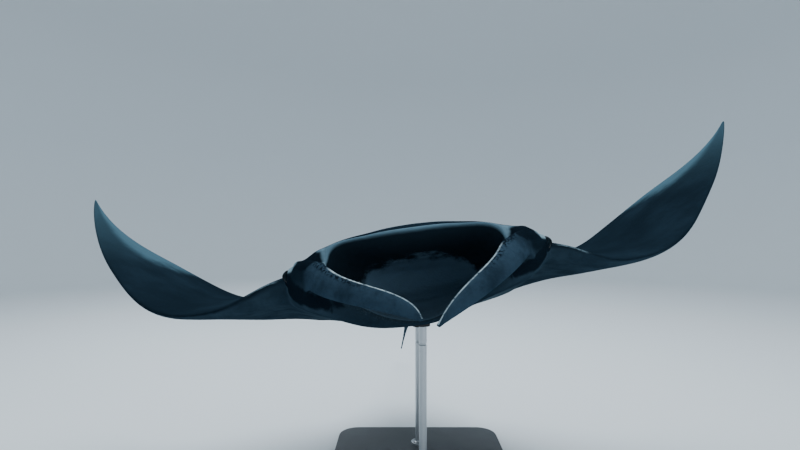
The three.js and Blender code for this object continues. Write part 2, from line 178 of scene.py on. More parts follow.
def sway(a, b):
    return -aside["most"] * (max(b - aside["from"], 0) / aside["over"]) ** 1.3 * bell(a, 0.5, 2)


def bendTable(wing):
    steps = 420
    step = (disc["halfSpan"] - disc["shoulder"]) / steps

    def slope(a):
        out = clamp((a - disc["shoulder"]) / (bending["droopTo"] - disc["shoulder"]))
        droop = math.sin(math.pi * out) ** 2
        return math.radians(
            wing["rise"] * ease((a - wing["from"]) / (wing["to"] - wing["from"]))
            + wing["curl"] * clamp((a - bending["curlFrom"]) / (disc["halfSpan"] - bending["curlFrom"]))
            - wing["droop"] * droop
        )

    table, across, up = [], disc["shoulder"], 0.0
    for i in range(steps + 1):
        a = disc["shoulder"] + i * step
        table.append((across, up, slope(a)))
        across += math.cos(slope(a + step / 2)) * step
        up += math.sin(slope(a + step / 2)) * step

    def bend(a):
        at = clamp((a - disc["shoulder"]) / (disc["halfSpan"] - disc["shoulder"])) * steps
        low = min(int(at), steps - 1)
        return [mix(p, q, at - low) for p, q in zip(table[low], table[low + 1])]

    return bend


bends = {side: bendTable(wing) for side, wing in wings.items()}


def posed(side, a, b, h):
    height = h * hang(side, a) if h < 0 else h + swell(side, a, b) * ease(h / 0.03)
    if a <= disc["shoulder"]:
        return Vector((side * a + sway(a, b), b, height))
    wing = wings[side]
    across, up, slope = bends[side](a)
    started = ramp(a, disc["shoulder"], bending["ramp"])
    untwist = 1 - ease((a - bending["twistFade"]) / (disc["halfSpan"] - bending["twistFade"]))
    twist = math.radians(wing["twist"]) * started * untwist
    spar = mix(leadingEdge(a), trailingEdge(a), bending["spar"])
    leanX, leanZ = -math.sin(slope), math.cos(slope)
    chord = Vector((leanX * math.sin(twist), math.cos(twist), leanZ * math.sin(twist)))
    normal = Vector((leanX * math.cos(twist), -math.sin(twist), leanZ * math.cos(twist)))
    point = Vector((across, spar, up + wing["lift"] * started)) + chord * (b - spar) + normal * height
    return Vector((side * point.x + sway(a, b), point.y, point.z))


# The eyes of the solid model say where the ray hangs over the stand.
turn = (
    Matrix.Rotation(math.radians(pose["yaw"]), 3, "Z")
    @ Matrix.Rotation(math.radians(-pose["pitch"]), 3, "X")
    @ Matrix.Rotation(math.radians(-pose["roll"]), 3, "Y")
)
eye = {"across": 0.373, "back": 0.118, "up": -0.004, "radius": 0.0205, "outward": 0.921, "ahead": 0.39}
eyeMiddle = sum((sum(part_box(n), Vector()) for n in ("eye_left", "eye_right")), Vector()) / 4
lipPoint = eyeMiddle - turn @ Vector((0, eye["back"], eye["up"]))
place = Matrix.Translation(lipPoint) @ turn.to_4x4()

# camera, floor and light come first
camera = {"ahead": 1.3213, "aside": -0.0426, "up": 0.0632, "lens": 22.2}
cam = bpy.data.objects.new("camera", bpy.data.cameras.new("camera"))
cam.location = lipPoint + Vector((camera["aside"], -camera["ahead"], camera["up"]))
cam.rotation_euler = (math.radians(90), 0, 0)
cam.data.lens = camera["lens"]
cam.data.sensor_width = 36
cam.data.clip_start = 0.05
cam.data.clip_end = 100
scene.collection.objects.link(cam)
scene.camera = cam


def newMaterial(name):
    material = bpy.data.materials.new(name)
    material.use_nodes = True
    return material, material.node_tree, material.node_tree.nodes["Principled BSDF"]


def finishMesh(bm, name, material, crease=180):  # edges that turn by more than crease degrees stay sharp
    for e in bm.edges:
        e.smooth = e.calc_face_angle(0) < math.radians(crease)
    mesh = bpy.data.meshes.new(name)
    bm.to_mesh(mesh)
    bm.free()
    mesh.materials.append(material)
    mesh.shade_smooth()
    piece = bpy.data.objects.new(name, mesh)
    scene.collection.objects.link(piece)
    return piece


def spun(points, middle, steps):  # a line of points turned once round the vertical
    bm = bmesh.new()
    dots = [bm.verts.new(p) for p in points]
    for one, two in zip(dots, dots[1:]):
        bm.edges.new((one, two))
    line = bm.verts[:] + bm.edges[:]
    full = 2 * math.pi
    bmesh.ops.spin(bm, geom=line, axis=(0, 0, 1), cent=middle, angle=full, steps=steps, use_merge=True)
    bmesh.ops.remove_doubles(bm, verts=bm.verts, dist=1e-4)
    return bm


studio = {
    "flat": 8.5, "flatSteps": 12, "curve": 3.0, "curveSteps": 14, "high": 9.0, "around": 96,
    "tone": (0.66, 0.72, 0.76, 1), "air": (0.80, 0.88, 0.95, 1), "airPower": 0.75,
}
profile = [(studio["flat"] * i / studio["flatSteps"], 0, 0) for i in range(studio["flatSteps"] + 1)]
for i in range(1, studio["curveSteps"] + 1):
    bend = math.pi / 2 * i / studio["curveSteps"]
    out = studio["flat"] + studio["curve"] * math.sin(bend)
    profile.append((out, 0, studio["curve"] * (1 - math.cos(bend))))
profile.append((studio["flat"] + studio["curve"], 0, studio["high"]))
paper, _, shader = newMaterial("studioPaper")
shader.inputs["Base Color"].default_value = studio["tone"]
shader.inputs["Roughness"].default_value = 0.9
floor = finishMesh(spun(profile, (0, 0, 0), studio["around"]), "studioFloor", paper)

lamps = {
    "overhead": {
        "at": (0.2, 1.0, 6.5), "aim": (0, 0.2, 0.9), "size": 5.0, "power": 420, "colour": (0.93, 0.97, 1.0)
    },
    "rim": {
        "at": (-2.6, 3.8, 4.6), "aim": (0, 0, 1.0), "size": 1.6, "power": 70, "colour": (0.90, 0.96, 1.0)
    },
    "frontFill": {
        "at": (2.8, -4.2, 2.4), "aim": (0, 0, 1.0), "size": 3.0, "power": 50, "colour": (0.95, 0.98, 1.0)
    },
}
for name, lamp in lamps.items():
    light = bpy.data.lights.new(name, "AREA")
    light.shape = "DISK"
    light.size = lamp["size"]
    light.energy = lamp["power"]
    light.color = lamp["colour"]
    hung = bpy.data.objects.new(name, light)
    hung.location = lamp["at"]
    hung.rotation_euler = (Vector(lamp["aim"]) - Vector(lamp["at"])).to_track_quat("-Z", "Y").to_euler()
    scene.collection.objects.link(hung)
world = bpy.data.worlds.new("studioAir")
scene.world = world
world.use_nodes = True
air = world.node_tree.nodes["Background"]
air.inputs["Color"].default_value = studio["air"]
air.inputs["Strength"].default_value = studio["airPower"]
print("studio ready")

# one skin for the whole animal
skin = {
    "mouthColumns": 16, "sideColumns": 30, "wingColumns": 40, "topRows": 30, "bandRows": 22,
    "lipRows": 4, "bottomRows": 22, "rearRows": 4, "rearReach": 0.42, "wingFrom": 0.405,
    "wingInset": 0.035, "closer": 0.07, "closerAt": 0.27, "slitRoom": 0.012,
}
gills = {
    "count": 5, "first": 0.222, "step": 0.059, "inner": 0.092, "reach": 0.165, "deep": 0.015,
    "innerStep": 0.004, "shorter": 0.016, "soft": 0.024, "endBefore": 0.03, "endOver": 0.04,
    "rows": (-0.0085, -0.0030, 0.0, 0.0030, 0.0085),  # across one slit, front to back
    "sink": (-0.12, 0.55, 1.0, 0.45, -0.22),
    "slide": (0.001, 0.004, 0.008, 0.004, -0.001),
    # dark: how much painted shade lies inside each slit, front to back
    "dark": (0, 0.7, 1, 0.7, 0),
}
lowerLip = {"front": 0.060, "back": 0.030}
# the dark roof is partly dark skin and partly painted shade inside the mouth
darkRoof = {  # how far down the mouth its dark roof comes
    "middle": 0.165, "side": 0.27, "sideOver": (0.05, 0.09), "corner": 0.36, "cornerOver": (0.13, 0.08),
}
headColumns = skin["mouthColumns"] + skin["sideColumns"]
halfColumns = headColumns + skin["wingColumns"]


def spacing(count):  # even steps that draw together toward both ends
    return [mix(u ** 1.3, 1 - (1 - u) ** 1.6, ease(u)) for u in (k / count for k in range(count + 1))]


topSteps = spacing(skin["topRows"])
slitSteps = {}
for slit in range(gills["count"]):
    for part, off in enumerate(gills["rows"]):
        slitSteps[gills["first"] + gills["step"] * slit + off] = (slit, part)
clear = [t for t in spacing(skin["bottomRows"]) if all(abs(t - s) > skin["slitRoom"] for s in slitSteps)]
bottomSteps = sorted(clear + list(slitSteps))
topCount, bandCount, bottomCount = len(topSteps) - 1, skin["bandRows"], len(bottomSteps) - 1
rowCount = topCount + bandCount + bottomCount + skin["rearRows"]


def lowerLipFront(a):
    u = a / head["mouthHalf"]
    return lowerLip["front"] - lowerLip["back"] * u * u


def columnAt(i):
    if i < skin["mouthColumns"]:
        a = head["mouthHalf"] * (1 - (1 - i / skin["mouthColumns"]) ** 1.5)
        b = leadingEdge(a)
        rear = skin["rearReach"] * i / headColumns
        return {"edge": (a, b), "inset": (a, b + head["lipRound"]), "rear": rear, "open": True}
    if i <= headColumns:
        u = (i - skin["mouthColumns"]) / skin["sideColumns"]
        # the columns stand closer at the eye
        at = skin["closerAt"]
        t = u + skin["closer"] * (math.sin(2 * math.pi * (u - at)) + math.sin(2 * math.pi * at))
        here = bezier(head["sideControl"], t)
        near = bezier(head["sideControl"], max(t - 0.02, 0))
        ahead = bezier(head["sideControl"], min(t + 0.02, 1))
        normal = Vector((near[1] - ahead[1], ahead[0] - near[0])).normalized()
        back = normal.lerp(Vector((0, 1)), ramp(t, 0.75, 0.25))
        deep = mix(0.015, 0.034, ease(t / 0.4))
        return {
            "edge": here,
            "inset": (here[0] + deep * back.x, here[1] + deep * back.y),
            "rear": skin["rearReach"] * i / headColumns,
            "centre": mix(-0.038, 0, ramp(t, 0.3, 0.7)),
            "power": mix(2.6, 2, t),
            "pinch": 1 - ease(t / 0.45),
            "gather": 0.5 * bell(t - 0.77, 0.2, 2),
            "open": False,
        }
    t = (i - headColumns) / skin["wingColumns"]
    a = mix(skin["wingFrom"], disc["halfSpan"], 1 - (1 - t) ** 1.12)
    b = leadingEdge(a)
    return {
        "edge": (a, b),
        "inset": (a, b + skin["wingInset"] * (trailingEdge(a) - b)),
        "rear": a,
        "centre": 0, "power": 2, "pinch": 0, "gather": 0, "open": False,
    }


def mouthPoint(a, j):
    lips = skin["lipRows"]
    u = a / head["mouthHalf"]
    front = leadingEdge(a)
    lowFront = lowerLipFront(a)
    upper = head["cornerDrop"] + (head["lipTop"] - head["cornerDrop"]) * (1 - u ** 3.2) ** 0.35
    lower = head["cornerDrop"] - head["lipLow"] * (1 - u ** 1.7) ** 0.75
    crest = topHeight(a, front + head["lipRound"])
    keel = -bottomHeight(a, lowFront + head["lipRound"])

    def rolled(start, k, low, high):
        roll = math.pi * (0.5 - k / lips)
        return start + head["lipRound"] * (1 - math.cos(roll)), mix(low, high, 0.5 + math.sin(roll) / 2)

    if j <= lips:
        return (*rolled(front, j, upper, crest), 0)
    if j >= bandCount - lips:
        return (*rolled(lowFront, j - bandCount + lips, keel, lower), 1)
    along = (j - lips) / (bandCount - 2 * lips)
    deep = math.sin(math.pi * along) ** 0.5
    depth = head["throatDepth"] * (1 - u ** 3) ** 0.5
    slim = head["throatHalf"] * (1 - u ** 3) ** 0.4
    level = mix((upper + lower) / 2, head["throatLevel"], deep)
    level += mix((upper - lower) / 2, slim, deep) * signedPow(math.cos(math.pi * along), 0.7)
    start = mix(front, lowFront, along) + head["lipRound"]
    return mix(start, front + depth, deep), level, along


# Paths on the skin, each point with its radius. Dark: a band from the eye down under the lobe, and a
# patch on the lobe's shoulder. Light: the pale mouth's corner, a painted highlight along the ridge over
# the eye, and a pale bar across each shoulder of the back.
eyeMark = [
    ((0.386, 0.118, -0.006), 0.027),
    ((0.374, 0.088, -0.038), 0.027),
    ((0.346, 0.062, -0.065), 0.023),
    ((0.300, 0.046, -0.090), 0.020),
    ((0.246, 0.038, -0.104), 0.023),
    ((0.216, 0.042, -0.106), 0.015),
]
crownMark = [
    ((0.276, 0.030, 0.012), 0.015),
    ((0.300, 0.038, 0.014), 0.027),
    ((0.340, 0.066, 0.026), 0.027),
]
cornerLight = [
    ((0.258, 0.036, 0.040), 0.009),
    ((0.250, 0.030, 0.010), 0.009),
    ((0.248, 0.030, -0.010), 0.006),
]
# a painted highlight along the ridge over each eye
browHighlight = [
    ((0.354, 0.078, 0.024), 0.013),
    ((0.366, 0.090, 0.020), 0.019),
    ((0.376, 0.108, 0.018), 0.019),
    ((0.396, 0.146, 0.016), 0.012),
]
shoulderLight = [
    ((0.150, 0.300, 0.08), 0.05),
    ((0.300, 0.270, 0.06), 0.07),
    ((0.430, 0.350, 0.04), 0.05),
    ((0.500, 0.450, 0.03), 0.02),
]


def inMark(point, path):  # depth inside a mark, below nought outside it
    best = -1.0
    for (one, wide), (two, narrow) in zip(path, path[1:]):
        one, two = Vector(one), Vector(two)
        t = clamp((point - one).dot(two - one) / (two - one).length_squared)
        best = max(best, mix(wide, narrow, t) - (point - one.lerp(two, t)).length)
    return best


def headMarks(point):
    return {
        "mark": max(inMark(point, eyeMark), inMark(point, crownMark)),
        # light holds the pale mouth corner and the painted highlight over the eye
        "light": max(inMark(point, cornerLight), inMark(point, browHighlight)),
    }


def tones(side, a, b, h, kind, band=0.0):
    # pale is above nought on the underside, mark, light and shoulder above nought inside their marks
    chord = max(trailingEdge(a) - leadingEdge(a), 0.02)
    pale = band
    if kind == "top":
        pale = -0.10
    elif kind == "bottom":
        pale = mix(0.10, b - leadingEdge(a) - 0.010, ramp(a, 0.36, 0.12))
        pale = min(pale, trailingEdge(a) - b - 0.03 - 0.05 * ramp(a, 0.5, 0.8), 0.12)
        pale -= 0.04 * ramp(a, 1.2, 0.5)
    point = Vector((a, b, h))
    return {
        "pale": pale,
        "under": 1.0 if kind == "bottom" else 0.0,
        **headMarks(point),
        "shoulder": inMark(point, shoulderLight) if kind == "top" else -0.1,
        "rear": clamp(1 - (trailingEdge(a) - b) / chord),
        "across": side * a,
        "along": b,
    }


def skinPoint(i, j):
    side = 1 if i >= halfColumns else -1
    column = columnAt(abs(i - halfColumns))
    (ea, eb), (ia, ib) = column["edge"], column["inset"]
    rearBack = trailingEdge(column["rear"])
    lowStart = lowerLipFront(ea) + head["lipRound"] if column["open"] else ib

    def laid(a, b, h, kind, band=0.0):
        return posed(side, a, b, h), tones(side, a, b, h, kind, band)

    if ea >= disc["halfSpan"]:
        return laid(ea, eb, 0, "top")
    if j <= topCount:
        t = topSteps[topCount - j]
        a, b = mix(ia, column["rear"], t), mix(ib, rearBack, t)
        return laid(a, b, topHeight(a, b), "top")
    j -= topCount
    if j <= bandCount and column["open"]:
        b, h, along = mouthPoint(ea, j)
        point, info = laid(ea, b, h, "band", 0.06 * (along - 0.5) - 0.02)
        info["mouth"] = 1.0 if skin["lipRows"] <= j <= bandCount - skin["lipRows"] else 0.0
        wide = mix(darkRoof["middle"], darkRoof["side"], ramp(ea, *darkRoof["sideOver"]))
        wide += darkRoof["corner"] * ramp(ea, *darkRoof["cornerOver"])
        info["floor"] = along - wide - 0.5 * (1 - ease(along / 0.16))
        middle = skin["lipRows"] / 2
        info["teeth"] = bell(bandCount - skin["lipRows"] - j, 1.2, 2)
        lower = 0.12 * bell(bandCount - j - middle, 1.1, 2) * (1 - ramp(ea, 0.06, 0.08))
        info["lip"] = max(bell(j - middle - 0.2, 1.5, 6), lower)
        return point, info
    if j <= bandCount:
        even = j / bandCount
        share = skin["lipRows"] / bandCount
        held = 0.5 + 0.03 * (even - 0.5) / (0.5 - share)
        if even < share:
            held = 0.47 * even / share
        elif even > 1 - share:
            held = 1 - 0.47 * (1 - even) / share
        gathered = 0.5 + signedPow(2 * even - 1, 1.8) / 2
        even = mix(mix(even, gathered, column["gather"]), held, column["pinch"])
        roll = math.pi * (0.5 - even)
        out = abs(math.cos(roll)) ** (2 / column["power"])
        a, b = mix(ia, ea, out), mix(ib, eb, out)
        reach = topHeight(ia, ib) - column["centre"]
        if roll <= 0:
            reach = bottomHeight(ia, ib) + column["centre"]
        h = column["centre"] + reach * signedPow(math.sin(roll), 2 / column["power"])
        point, info = laid(a, b, h, "band", -0.05 * math.sin(roll) - 0.008)
        info["lip"] = 0.8 * bell(math.sin(roll) - 0.95, 0.10, 2) * (1 - ramp(ea, 0.29, 0.05))
        return point, info
    j -= bandCount
    if j <= bottomCount:
        t = bottomSteps[j]
        a, b = mix(ia, column["rear"], t), mix(lowStart, rearBack, t)
        h = -bottomHeight(a, b)
        info = tones(side, a, b, h, "bottom")
        if t in slitSteps:
            slit, part = slitSteps[t]
            inner = gills["inner"] + gills["innerStep"] * slit
            outer = inner + gills["reach"] - gills["shorter"] * slit
            window = ease((a - inner + gills["soft"] / 2) / gills["soft"])
            window *= 1 - ease((a - outer + gills["endBefore"]) / gills["endOver"])
            h += window * gills["deep"] * gills["sink"][part]
            b += window * gills["slide"][part]
            info["slit"] = window * gills["dark"][part]
        return posed(side, a, b, h), info
    j -= bottomCount
    up = j / skin["rearRows"]
    a, b = column["rear"], rearBack
    thick = topHeight(a, b) + bottomHeight(a, b)
    h = topHeight(a, b) - thick * (1 - up)
    rounded = b + 0.25 * thick * math.sin(math.pi * up)
    return posed(side, a, rounded, h), tones(side, a, b, h, "band", -0.03)


bm = bmesh.new()
bmesh.ops.create_grid(bm, x_segments=2 * halfColumns, y_segments=rowCount, size=1)
toneNames = (
    "pale", "under", "mark", "light", "shoulder", "rear", "across", "along",
    "mouth", "floor", "lip", "teeth", "slit", "lobe", "edge",
)
layers = {name: bm.verts.layers.float.new(name) for name in toneNames}
columnLayer = bm.verts.layers.int.new("column")
rowLayer = bm.verts.layers.int.new("row")


def settle(v, point, info):
    v.co = point
    for name, layer in layers.items():
        v[layer] = info.get(name, 0.0)


for v in bm.verts:
    v[columnLayer] = round((v.co.x + 1) * halfColumns)
    v[rowLayer] = round((v.co.y + 1) / 2 * rowCount)
for v in bm.verts:
    settle(v, *skinPoint(v[columnLayer], v[rowLayer]))
bmesh.ops.remove_doubles(bm, verts=[v for v in bm.verts if v[rowLayer] in (0, rowCount)], dist=1e-5)
ends = [v for v in bm.verts if v[columnLayer] in (0, 2 * halfColumns)]
bmesh.ops.remove_doubles(bm, verts=ends, dist=1e-5)
for v in bm.verts:  # the first row is now the last one too
    v[rowLayer] = v[rowLayer] or rowCount
faceAt = {}
for f in bm.faces:
    columns, rows = [v[columnLayer] for v in f.verts], [v[rowLayer] for v in f.verts]
    if max(rows) - min(rows) == 1 and max(columns) - min(columns) == 1:
        faceAt[min(columns), min(rows)] = f
print("body shaped", len(bm.faces))


def grow(side, columns, rows, steps, spot):
    # Draws a block of the skin out step by step. spot gives a point from its place in the block,
    # where x runs from -1 inside to 1 outside and y from -1 at the first row to 1 at the last.
    first, last = columns
    cells = range(first, last) if side > 0 else range(-last, -first)
    faces = [faceAt[halfColumns + i, j] for i in cells for j in range(*rows)]
    starts = {}
    for step in range(1, steps + 1):
        made = bmesh.ops.extrude_face_region(bm, geom=faces)["geom"]
        bmesh.ops.delete(bm, geom=faces, context="FACES")
        for v in [g for g in made if isinstance(g, bmesh.types.BMVert)]:
            key = (v[columnLayer], v[rowLayer])
            start = starts.setdefault(key, v.co.copy())
            x = 2 * (side * (key[0] - halfColumns) - first) / (last - first) - 1
            y = 2 * (key[1] - rows[0]) / (rows[1] - rows[0]) - 1
            base = {name: v[layer] for name, layer in layers.items()} if step == 1 else starts[key, "tone"]
            starts[key, "tone"] = base
            point, info = spot(x, y, step / steps, start)
            settle(v, point, {**base, **info})
        faces = [g for g in made if isinstance(g, bmesh.types.BMFace)]


def toDisc(x, y):  # a square block of skin rounded to a disc
    return x * math.sqrt(1 - y * y / 2), y * math.sqrt(1 - x * x / 2)


lobe = {  # leaves is the share of the length over which it parts from the body
    "steps": 24, "rootThick": 0.017, "tipThick": 0.005, "cup": 0.10,
    "leaves": 0.2, "toneAlong": 0.33, "toneAcross": 0.12,
    "upper": {
        -1: [
            (0.259, 0.020, 0.031), (0.245, -0.084, -0.096),
            (0.021, -0.158, -0.111), (0.010, -0.159, -0.203),
        ],
        1: [
            (0.238, 0.023, 0.034), (0.225, -0.081, -0.083),
            (0.092, -0.160, -0.111), (0.023, -0.158, -0.221),
        ],
    },
    "lower": {
        -1: [
            (0.319, 0.041, -0.047), (0.268, -0.061, -0.118),
            (0.152, -0.126, -0.148), (0.014, -0.150, -0.208),
        ],
        1: [
            (0.320, 0.045, -0.029), (0.268, -0.067, -0.095),
            (0.146, -0.122, -0.172), (0.024, -0.149, -0.225),
        ],
    },
}


def lobeSpot(side):
    upper, lower = lobe["upper"][side], lobe["lower"][side]

    def spot(x, y, t, start):
        u, v = toDisc(x, y)
        top, low = Vector(bezier(upper, t)), Vector(bezier(lower, t))
        before, after = bezier(upper, max(t - 0.01, 0)), bezier(upper, min(t + 0.01, 1))
        ahead = (Vector(after) - Vector(before)).normalized()
        across = (top - low).normalized()
        face = across.cross(ahead).normalized()
        half = (top - low).length / 2
        thick = mix(lobe["rootThick"], lobe["tipThick"], t ** 0.6)
        cup = lobe["cup"] * half * (v * v - 0.4)
        point = (top + low) / 2 - across * half * v + face * (thick * u - cup)
        point.x *= side
        point = start.lerp(point, ease(t / lobe["leaves"]))
        near = Vector((abs(point.x), point.y, point.z))
        info = {"lobe": t, "edge": -v, "teeth": 0.0, **headMarks(near)}
        info["along"] = start.y - lobe["toneAlong"] * t
        info["across"] = start.x + lobe["toneAcross"] * y
        return point, info

    return spot


tail = {
    "start": 1.4, "end": 2.62, "rootWide": 0.046, "rootHigh": 0.034, "tip": 0.0035,
    "thinning": 4.2, "drop": 0.112, "steps": 30, "leaves": 0.12,
}


def tailSpot(x, y, t, start):
    u, v = toDisc(x, y)
    s = mix(0.075, 1, t ** 1.15)
    b = mix(tail["start"], tail["end"], s)
    thin = math.exp(-tail["thinning"] * s)
    wide = mix(tail["tip"], tail["rootWide"], thin)
    high = mix(tail["tip"], tail["rootHigh"], thin)
    point = Vector((sway(0, b) + wide * u, b, -tail["drop"] * s ** 1.5 + high * v))
    return start.lerp(point, ease(t / tail["leaves"])), {"pale": -0.03 - 0.1 * v, "along": b, "rear": 0.5}


pelvic = {
    "inner": 0.028, "outer": 0.168, "root": 0.062, "rear": 1.590, "rearOut": 1.510,
    "rootThick": 0.012, "tipThick": 0.0025, "steps": 7, "leaves": 0.35,
}


def pelvicSpot(side):
    def spot(x, y, t, start):
        out = (x + 1) / 2
        a = mix(pelvic["root"], pelvic["outer"] - 0.006, out)
        inner = (a - pelvic["inner"]) / (pelvic["outer"] - pelvic["inner"])
        rear = mix(pelvic["rear"], pelvic["rearOut"], inner ** 1.9)
        b = mix(trailingEdge(a) + 0.004, rear, t)
        thin = mix(pelvic["rootThick"], pelvic["tipThick"], t ** 0.7) * math.sqrt(1 - (0.9 * x) ** 2)
        point = Vector((side * a + sway(a, b), b, -0.008 - 0.014 * inner * t + thin * y))
        info = {"along": b, "rear": 0.5 + 0.5 * t, "pale": -0.02 - 0.05 * y}
        return start.lerp(point, ease(t / pelvic["leaves"])), info

    return spot


dorsal = {
    "front": 1.335, "rear": 1.497, "tipFront": 1.475, "tipRear": 1.527, "height": 0.133,
    "thick": 0.009, "steps": 8, "leaves": 0.3,
}


def dorsalSpot(x, y, t, start):
    front = mix(dorsal["front"], dorsal["tipFront"], t ** 0.9)
    rear = mix(dorsal["rear"], dorsal["tipRear"], t) - 0.016 * t ** 4
    along = (1 - y) / 2
    b = mix(front, rear, along)
    thick = dorsal["thick"] * mix(1, 0.3, t) * math.sin(math.pi * mix(0.06, 0.97, along)) ** 0.6
    h = mix(start.z, dorsal["height"] - 0.012 * (1 - along) ** 2, t)
    point = Vector((sway(0, b) + thick * x, b, h))
    return start.lerp(point, ease(t / dorsal["leaves"])), {"along": b, "rear": 0.4 + 0.5 * t}


rearRow = topCount + bandCount + bottomCount
finRows = [
    j for j in range(topCount)
    if mix(head["lipRound"], trailingEdge(0), topSteps[topCount - j]) > dorsal["front"]
]
for side in (-1, 1):
    lobeRows = (topCount + 3, topCount + 15)
    grow(side, (skin["mouthColumns"], skin["mouthColumns"] + 8), lobeRows, lobe["steps"], lobeSpot(side))
    grow(side, (6, 15), (rearRow, rearRow + skin["rearRows"]), pelvic["steps"], pelvicSpot(side))
grow(1, (-5, 5), (rearRow, rearRow + skin["rearRows"]), tail["steps"], tailSpot)
grow(1, (-1, 1), (1, max(finRows) + 1), dorsal["steps"], dorsalSpot)
print("lobes, fins and tail grown", len(bm.faces))

# lids: a raised ring round each eyeball, on a finer mesh
lids = {
    "hole": 0.0165, "slope": 0.0035, "sunk": 0.006, "ring": 0.0245, "ringWide": 0.0055,
    "raise": 0.0045, "crease": 0.037, "creaseWide": 0.006, "creaseDeep": 0.0025,
    "tall": 1.12, "dark": 0.030, "finer": 0.046, "reach": 0.060,
}


def eyePlace(side):
    middle = Vector((side * eye["across"], eye["back"], eye["up"]))
    axis = Vector((side * eye["outward"], -eye["ahead"], 0.0)).normalized()
    return middle, axis


def nearEye(point, reach):
    return (point - eyePlace(math.copysign(1, point.x))[0]).length < reach


around = [f for f in bm.faces if nearEye(f.calc_center_median(), lids["finer"])]
edges = list({e for f in around for e in f.edges})
bmesh.ops.subdivide_edges(bm, edges=edges, cuts=1, use_grid_fill=True)
for v in [v for v in bm.verts if nearEye(v.co, lids["reach"])]:
    middle, axis = eyePlace(math.copysign(1, v.co.x))
    off = v.co - middle
    axial = off.dot(axis)
    flat = off - axis * axial
    radial = Vector((flat.x, flat.y, flat.z * lids["tall"])).length
    ring = lids["raise"] * bell(radial - lids["ring"], lids["ringWide"], 2)
    crease = -lids["creaseDeep"] * bell(radial - lids["crease"], lids["creaseWide"], 2)
    shown = ramp(radial, lids["hole"], lids["slope"])
    v.co = middle + flat + axis * mix(-lids["sunk"], axial + ring + crease, shown)
    v[layers["mark"]] = max(v[layers["mark"]], lids["dark"] - radial)
bmesh.ops.recalc_face_normals(bm, faces=bm.faces)
bmesh.ops.transform(bm, matrix=place, verts=bm.verts)


def addNode(tree, kind, **settings):
    node = tree.nodes.new("ShaderNode" + kind)
    for name, value in settings.items():
        setattr(node, name, value)
    return node


def feed(tree, socket, value):
    if isinstance(value, bpy.types.NodeSocket):
        tree.links.new(value, socket)
    else:
        socket.default_value = value


def maths(tree, operation, *values):
    node = addNode(tree, "Math", operation=operation)
    for socket, value in zip(node.inputs, values):
        feed(tree, socket, value)
    return node.outputs[0]


def blend(tree, share, one, two):
    node = addNode(tree, "Mix", data_type="RGBA")
    feed(tree, node.inputs["Factor"], share)
    for socket, value in zip([s for s in node.inputs if s.type == "RGBA"], (one, two)):
        feed(tree, socket, value if isinstance(value, bpy.types.NodeSocket) else (*value, 1))
    return next(s for s in node.outputs if s.type == "RGBA")


def step(tree, value, low, high):  # a soft step from 0 at low to 1 at high
    node = addNode(tree, "MapRange", interpolation_type="SMOOTHSTEP")
    feed(tree, node.inputs["Value"], value)
    node.inputs["From Min"].default_value = low
    node.inputs["From Max"].default_value = high
    return node.outputs["Result"]


def coat(tree, shader, colour, roughness):
    feed(tree, shader.inputs["Base Color"], colour)
    feed(tree, shader.inputs["Roughness"], roughness)


def grainGroup():  # a noise on the object's own coordinates, and a roughness that follows it
    group = bpy.data.node_groups.new("surfaceGrain", "ShaderNodeTree")
    for name in ("Scale", "Detail", "Rough", "Stretch", "Gloss", "Spread"):
        kind = "NodeSocketVector" if name == "Stretch" else "NodeSocketFloat"
        group.interface.new_socket(name=name, in_out="INPUT", socket_type=kind)
    for name in ("Grain", "Roughness"):
        group.interface.new_socket(name=name, in_out="OUTPUT", socket_type="NodeSocketFloat")
    given, made = group.nodes.new("NodeGroupInput"), group.nodes.new("NodeGroupOutput")
    spot, mapping, node = addNode(group, "TexCoord"), addNode(group, "Mapping"), addNode(group, "TexNoise")
    group.links.new(spot.outputs["Object"], mapping.inputs["Vector"])
    group.links.new(given.outputs["Stretch"], mapping.inputs["Scale"])
    group.links.new(mapping.outputs["Vector"], node.inputs["Vector"])
    for name, socket in (("Scale", "Scale"), ("Detail", "Detail"), ("Rough", "Roughness")):
        group.links.new(given.outputs[name], node.inputs[socket])
    group.links.new(node.outputs["Fac"], made.inputs["Grain"])
    spread, gloss = given.outputs["Spread"], given.outputs["Gloss"]
    rough = maths(group, "MULTIPLY_ADD", node.outputs["Fac"], spread, gloss)
    group.links.new(rough, made.inputs["Roughness"])
    return group


surfaceGrain = grainGroup()


def grained(tree, scale, detail=3.0, rough=0.55, stretch=(1, 1, 1), gloss=0.5, spread=0.2):
    node = addNode(tree, "Group", node_tree=surfaceGrain)
    for socket, value in zip(node.inputs, (scale, detail, rough, stretch, gloss, spread)):
        socket.default_value = value
    return node.outputs["Grain"], node.outputs["Roughness"]


def noise(tree, scale, detail=3.0, rough=0.55):
    return grained(tree, scale, detail, rough)[0]


def spots(tree, scale):
    spot = addNode(tree, "TexCoord")
    node = addNode(tree, "TexVoronoi")
    node.inputs["Scale"].default_value = scale
    node.inputs["Randomness"].default_value = 1.0
    tree.links.new(spot.outputs["Object"], node.inputs["Vector"])
    return node.outputs["Distance"]


def laidNoise(tree, across, along, wide, far):  # noise drawn out along the skin's own directions
    laid = addNode(tree, "CombineXYZ")
    tree.links.new(maths(tree, "MULTIPLY", across, wide), laid.inputs["X"])
    tree.links.new(maths(tree, "MULTIPLY", along, far), laid.inputs["Y"])
    node = addNode(tree, "TexNoise")
    node.inputs["Scale"].default_value = 1
    node.inputs["Detail"].default_value = 4.0
    tree.links.new(laid.outputs["Vector"], node.inputs["Vector"])
    return node.outputs["Fac"]


def bump(tree, shader, *reliefs):  # each relief is (height socket, distance)
    normal = None
    for height, distance in reliefs:
        node = addNode(tree, "Bump")
        node.inputs["Distance"].default_value = distance
        tree.links.new(height, node.inputs["Height"])
        if normal:
            tree.links.new(normal, node.inputs["Normal"])
        normal = node.outputs["Normal"]
    tree.links.new(normal, shader.inputs["Normal"])


